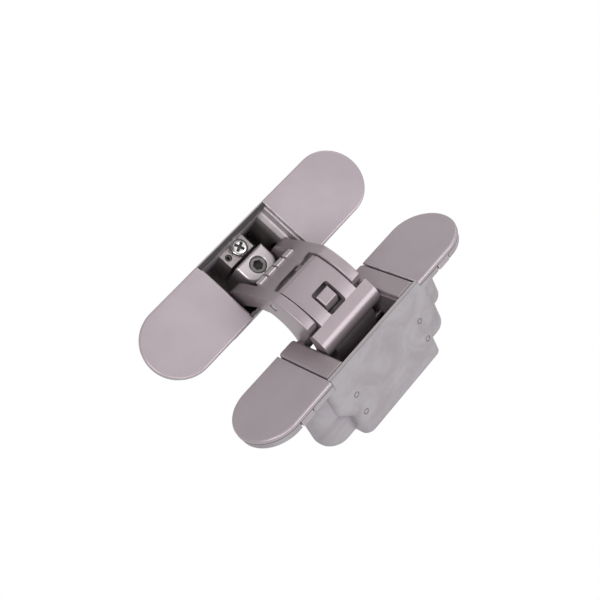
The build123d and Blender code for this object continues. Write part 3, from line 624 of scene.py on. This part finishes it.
def widen_head(node, factor, length):
    """Widen the head of a screw about its own axis."""
    head = screw_head(node)
    for vert in dressed[node].data.vertices:
        if vert.co.y < head.y + length * MM:
            vert.co.x = head.x + (vert.co.x - head.x) * factor
            vert.co.z = head.z + (vert.co.z - head.z) * factor


def paint_recess_shade(node, radius, deep_from, deep_to):
    """Paint shade into the driver recess of a screw: its faces get a dark finish."""
    head = screw_head(node)
    data = dressed[node].data
    data.materials.append(FINISHES["painted_shade_dark"])
    for face in data.polygons:
        spot = (face.center - head) / MM
        if math.hypot(spot.x, spot.z) < radius and deep_from < spot.y < deep_to:
            face.material_index = 1


widen_head("clamp_screw", factor=1.25, length=2.42)
paint_recess_shade("clamp_screw", radius=2.3, deep_from=0.3, deep_to=2.3)
paint_recess_shade("side_screw", radius=2.2, deep_from=0.15, deep_to=6.0)


# ----------------------------------------------------------- geometry trees
def geometry_tree(name, inputs):
    """An empty geometry node tree with named inputs.  An input whose value is
    None is a material.  Returns the tree, its two ends and the identifiers of
    the inputs."""
    tree = bpy.data.node_groups.new(name, "GeometryNodeTree")
    kinds = {float: "NodeSocketFloat", int: "NodeSocketInt", tuple: "NodeSocketVector"}
    tree.interface.new_socket("Geometry", in_out="INPUT", socket_type="NodeSocketGeometry")
    names = {}
    for label, value in inputs.items():
        kind = "NodeSocketMaterial" if value is None else kinds[type(value)]
        socket = tree.interface.new_socket(label, in_out="INPUT", socket_type=kind)
        if value is not None:
            socket.default_value = value
        names[label] = socket.identifier
    tree.interface.new_socket("Geometry", in_out="OUTPUT", socket_type="NodeSocketGeometry")
    given = new_node(tree, "NodeGroupInput").outputs
    out = new_node(tree, "NodeGroupOutput").inputs
    return tree, given, out, names


def close_tree(tree, given, out, grown):
    """Realize what has grown and give it the finish."""
    real = new_node(tree, "GeometryNodeRealizeInstances", {"Geometry": grown}).outputs["Geometry"]
    inputs = {"Geometry": real, "Material": given["Finish"]}
    feed(tree, out["Geometry"], new_node(tree, "GeometryNodeSetMaterial", inputs).outputs["Geometry"])


def spread(tree, given, points, shape):
    """Set a shape on each point, all turned the same way."""
    turn = new_node(tree, "FunctionNodeEulerToRotation", {0: given["Turn"]}).outputs[0]
    inputs = {"Points": points, "Instance": shape, "Rotation": turn}
    return new_node(tree, "GeometryNodeInstanceOnPoints", inputs).outputs["Instances"]


def bead_along(tree, path, radius, sides):
    """A round bead along a curve."""
    wire = new_node(tree, "GeometryNodeCurvePrimitiveCircle", {"Resolution": sides, "Radius": radius})
    inputs = {"Curve": path, "Profile Curve": wire.outputs["Curve"]}
    return new_node(tree, "GeometryNodeCurveToMesh", inputs).outputs["Mesh"]


def make_pad_row():
    """A row of blocks, one step after another along Z."""
    tree, given, out, names = geometry_tree(
        "pad_row",
        {
            "Count": PAD_COUNT, "Pitch": TOOTH_PITCH * MM, "Start": (0.0, 0.0, 0.0),
            "Turn": (0.0, 0.0, 0.0), "Pad Size": (MM, MM, MM), "Finish": None,
        },
    )
    step = new_node(tree, "ShaderNodeCombineXYZ", {"Z": given["Pitch"]}).outputs[0]
    inputs = {"Count": given["Count"], "Start Location": given["Start"], "Offset": step}
    line = new_node(tree, "GeometryNodeMeshLine", inputs, mode="OFFSET").outputs["Mesh"]
    pad = new_node(tree, "GeometryNodeMeshCube", {"Size": given["Pad Size"]}).outputs["Mesh"]
    close_tree(tree, given, out, spread(tree, given, line, pad))
    return tree, names


def make_ring_marks():
    """Raised rings on the points of a mesh."""
    tree, given, out, names = geometry_tree(
        "ring_marks",
        {
            "Ring Radius": MARK_RADIUS * MM, "Bead Radius": MARK_BEAD * MM,
            "Turn": (0.0, 0.0, 0.0), "Finish": None,
        },
    )
    inputs = {"Resolution": RING_SIDES, "Radius": given["Ring Radius"]}
    ring = new_node(tree, "GeometryNodeCurvePrimitiveCircle", inputs).outputs["Curve"]
    bead = bead_along(tree, ring, given["Bead Radius"], BEAD_SIDES)
    close_tree(tree, given, out, spread(tree, given, given["Geometry"], bead))
    return tree, names


def make_seam_bead():
    """A thin bead along a closed outline."""
    tree, given, out, names = geometry_tree("seam_bead", {"Bead Radius": SEAM_RADIUS * MM, "Finish": None})
    path = new_node(tree, "GeometryNodeMeshToCurve", {"Mesh": given["Geometry"]}).outputs["Curve"]
    close_tree(tree, given, out, bead_along(tree, path, given["Bead Radius"], SEAM_SIDES))
    return tree, names


PAD_ROW = make_pad_row()
RING_MARKS = make_ring_marks()
SEAM_BEAD = make_seam_bead()


def grown_piece(name, tree_and_names, points, values, body, edges=()):
    """Run a geometry tree on some points and keep its plain mesh."""
    tree, names = tree_and_names
    data = bpy.data.meshes.new(name + "_points")
    data.from_pydata([tuple(point) for point in points], list(edges), [])
    seed = bpy.data.objects.new(name + "_points", data)
    scene.collection.objects.link(seed)
    grower = seed.modifiers.new(name, "NODES")
    grower.node_group = tree
    for label, value in values.items():
        grower[names[label]] = value
    depsgraph = bpy.context.evaluated_depsgraph_get()
    mesh = bpy.data.meshes.new_from_object(seed.evaluated_get(depsgraph))
    bpy.data.objects.remove(seed)
    mesh.name = name
    obj = bpy.data.objects.new(name, mesh)
    scene.collection.objects.link(obj)
    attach(obj, body)
    return obj


def pad_row(name, count, pitch, start, turn, size, finish, body):
    """A row of blocks on a body, each turned about Z."""
    values = {
        "Count": count, "Pitch": pitch * MM, "Start": tuple(start), "Turn": (0.0, 0.0, turn),
        "Pad Size": tuple(side * MM for side in size), "Finish": FINISHES[finish],
    }
    return grown_piece(name, PAD_ROW, [(0, 0, 0)], values, body)


def ring_marks(name, points, radius, bead, turn, finish, body):
    """Raised rings on a body, all turned the same way."""
    values = {
        "Ring Radius": radius * MM, "Bead Radius": bead * MM, "Turn": turn, "Finish": FINISHES[finish],
    }
    grown_piece(name, RING_MARKS, points, values, body)


# ------------------------------------------------------------ added details
def fork_fingers():
    """Raised pads along the foot of the fork's web, in a paler copy of the arm's satin that paints on their
    highlight.
    """
    pin, foot, top = Vector(CENTRE_PIN), Vector(SLOPE_FOOT), Vector(SLOPE_TOP)
    rise = (top - foot).normalized()
    outward = Vector((-rise.y, rise.x))
    middle = pin + foot + rise * PAD_UP_SLOPE + outward * PAD_PROUD
    start = hinge_point(middle.x, middle.y, -(PAD_COUNT - 1) / 2 * TOOTH_PITCH)
    turn = math.atan2(-rise.y, -rise.x)
    pads = pad_row(
        "fork_finger_pads", PAD_COUNT, TOOTH_PITCH, start, turn, PAD_SIZE,
        "finger_satin_painted_highlight", "fork_arm",
    )
    broken = pads.modifiers.new("broken_edges", "BEVEL")
    broken.width = PAD_EDGE * MM
    broken.segments = 2


def shade_ledge(name, body, across, out, along):
    """A dark ledge of painted shade that closes the line of sight past an arm.
    Its reach across and out is given from the centre pin."""
    pin_across, pin_out = CENTRE_PIN
    ends = [hinge_point(pin_across + a, pin_out + b, c) for a, b, c in zip(across, out, along)]
    shape = bmesh.new()
    bmesh.ops.create_cube(shape, size=1.0)
    middle = (ends[0] + ends[1]) / 2
    for vert in shape.verts:
        vert.co = middle + Vector([abs(a - b) * c for a, b, c in zip(*ends, vert.co)])
    bmesh.ops.bevel(
        shape, geom=list(shape.edges), offset=LEDGE_EDGE * MM, offset_type="OFFSET", segments=2, profile=0.5,
        affect="EDGES", clamp_overlap=True,
    )
    data = bpy.data.meshes.new(name)
    shape.to_mesh(data)
    shape.free()
    obj = bpy.data.objects.new(name, data)
    scene.collection.objects.link(obj)
    data.materials.append(FINISHES["painted_shade_dark"])
    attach(obj, body)


def parting_line():
    """Faint flash line that the mould leaves along the leaf housing's side."""
    start = from_face(LEAF_PLACE, -BODY_HALF, LINE_DEPTH, -LINE_PITCH / 2)
    pad_row(
        "leaf_parting_line", 2, LINE_PITCH, start, LEAF_TURN, (*LINE_SECTION, LINE_LENGTH),
        "leaf_cast_zinc", "leaf",
    )


def cap_shadow_seam(node, place):
    """Painted shadow line: a dark bead in the groove between a cover cap and its housing, where shade falls.
    """
    spots = [to_face(place, vert.co) for vert in dressed[node].data.vertices]
    top = min(spot.y for spot in spots)
    band_end = CAP_T + SEAM_SLACK
    rim = [Vector((spot.x, spot.z)) for spot in spots if SEAM_BAND_START < spot.y - top < band_end]
    hull = [rim[i] for i in mathutils.geometry.convex_hull_2d(rim)]
    centre = sum(hull, Vector((0.0, 0.0))) / len(hull)
    outline = []
    for corner in hull:
        inner = corner + (centre - corner).normalized() * SEAM_INSET
        outline.append(from_face(place, inner.x, top + CAP_T, inner.y))
    edges = [(i, (i + 1) % len(outline)) for i in range(len(outline))]
    values = {"Bead Radius": SEAM_RADIUS * MM, "Finish": FINISHES["painted_shade_dark"]}
    grown_piece(node + "_shadow_seam", SEAM_BEAD, outline, values, node_body[node], edges)


def head_ring(name, node, deep, radius, bead, finish):
    """A ring round a screw's head."""
    point = screw_head(node) + Vector((0, deep * MM, 0))
    ring_marks(name, [point], radius, bead, (QUARTER_TURN, 0.0, 0.0), finish, node)


def leaf_ejector_rings():
    """Marks of the ejector pins on the leaf housing's closed side."""
    points = []
    for across, deep in EJECTOR_SPOTS:
        for along in (across, -across):
            points.append(from_face(LEAF_PLACE, -BODY_HALF, deep, along))
    tilt = Matrix.Rotation(LEAF_TURN, 4, "Z") @ Matrix.Rotation(QUARTER_TURN, 4, "Y")
    ring_marks(
        "leaf_ejector_rings", points, MARK_RADIUS, MARK_BEAD, tuple(tilt.to_euler()),
        "mark_zinc", "leaf",
    )


fork_fingers()
for ledge_name, ledge_values in SHADE_LEDGES.items():
    shade_ledge(ledge_name, *ledge_values)
parting_line()
for end in ("top", "bottom"):
    cap_shadow_seam("frame_cap_" + end, FRAME_PLACE)
    cap_shadow_seam("leaf_cap_" + end, LEAF_PLACE)
# A dark ring painted on the clamp screw's head near its rim, as shade.
head_ring(
    "clamp_screw_shade_ring", "clamp_screw", deep=0.3, radius=2.75, bead=0.16,
    finish="painted_shade_dark",
)
# A black ring round the side screw's head: painted shadow in the gap round it.
head_ring(
    "side_screw_shade_ring", "side_screw", deep=0.05, radius=3.2, bead=0.28,
    finish="black_steel_and_painted_shade",
)
leaf_ejector_rings()


# -------------------------------------------------------- floor and lights
AMBIENT = 0.34
FLOOR_HEIGHT = -0.7
FLOOR_RADIUS = 0.45
FLOOR_FADE = (0.35, 0.95)  # shares of the radius
FLOOR_GREY = (0.86, 0.86, 0.86)
LAMP_TARGET = Vector((-0.02, -0.04, 0))
# Direction from the hinge, distance, width of the disk and power in watts.
LAMPS = {
    "side_key": ((-0.5, -0.8, -0.36), 1.0, 0.7, 4.5),
    "low_key": ((-0.5, -0.766, 0.403), 1.1, 0.5, 2.4),
    "end_fill": ((0.1, -0.85, 0.85), 1.1, 0.5, 3.8),
    "back_fill": ((0.5, -0.6, -0.9), 1.2, 0.9, 2.5),
}


def make_world():
    """Dim light on the hinge, and plain white for camera, glossy and
    transmission rays, so that it also shows in the metal."""
    world = bpy.data.worlds.new("white_studio")
    scene.world = world
    world.use_nodes = True
    tree = world.node_tree
    path = new_node(tree, "ShaderNodeLightPath").outputs
    seen = calc(tree, "MAXIMUM", path["Is Camera Ray"], path["Is Glossy Ray"])
    seen = calc(tree, "MAXIMUM", seen, path["Is Transmission Ray"])
    colour = blend(tree, seen, (AMBIENT, AMBIENT, AMBIENT), (1, 1, 1))
    tree.links.new(colour, tree.nodes["Background"].inputs["Color"])


def make_floor():
    """Pale round floor whose rim fades out into the white surroundings."""
    shape = bmesh.new()
    bmesh.ops.create_circle(shape, cap_ends=True, segments=96, radius=FLOOR_RADIUS)
    data = bpy.data.meshes.new("floor")
    shape.to_mesh(data)
    shape.free()
    floor = bpy.data.objects.new("floor", data)
    floor.location = (0, 0, FLOOR_HEIGHT)
    scene.collection.objects.link(floor)
    material, tree, shader = start_material("floor_white")
    far = new_node(tree, "ShaderNodeVectorMath", {0: object_coords(tree)}, operation="LENGTH")
    fade_from, fade_to = [share * FLOOR_RADIUS for share in FLOOR_FADE]
    inputs = {
        "Value": far.outputs["Value"], "From Min": fade_from, "From Max": fade_to,
        "To Min": 1.0, "To Max": 0.0,
    }
    fade = new_node(tree, "ShaderNodeMapRange", inputs, interpolation_type="SMOOTHSTEP").outputs["Result"]
    feed(tree, shader.inputs["Alpha"], fade)
    feed(tree, shader.inputs["Base Color"], FLOOR_GREY)
    feed(tree, shader.inputs["Roughness"], 0.7)
    data.materials.append(material)


def soft_light(name, direction, distance, width, power):
    lamp = bpy.data.lights.new(name, "AREA")
    lamp.shape = "DISK"
    lamp.size = width
    lamp.energy = power
    holder = bpy.data.objects.new(name, lamp)
    direction = Vector(direction).normalized()
    holder.location = LAMP_TARGET + direction * distance
    holder.rotation_euler = direction.to_track_quat("Z", "Y").to_euler()
    scene.collection.objects.link(holder)


make_world()
make_floor()
for lamp_name, lamp_values in LAMPS.items():
    soft_light(lamp_name, *lamp_values)


# ------------------------------------------------------------------- camera
CAMERA_LENS = 57.98
CAMERA_SENSOR = 36.0
CAMERA_SPOT = (-22.355, -368.726, 120.967)  # millimetres
CAMERA_RIGHT = (-0.73426245, -0.2285679, -0.6392303)
CAMERA_UP = (0.67886355, -0.24959858, -0.69053952)


def make_camera():
    camera = bpy.data.cameras.new("view")
    camera.lens = CAMERA_LENS
    camera.sensor_width = CAMERA_SENSOR
    camera.sensor_fit = "HORIZONTAL"
    camera.clip_start = 0.01
    holder = bpy.data.objects.new("view", camera)
    right = Vector(CAMERA_RIGHT)
    up = Vector(CAMERA_UP)
    turn = Matrix((right, up, right.cross(up))).transposed().to_4x4()
    holder.matrix_world = Matrix.Translation(Vector(CAMERA_SPOT) * MM) @ turn
    scene.collection.objects.link(holder)
    scene.camera = holder


make_camera()
scene.view_settings.view_transform = "Standard"
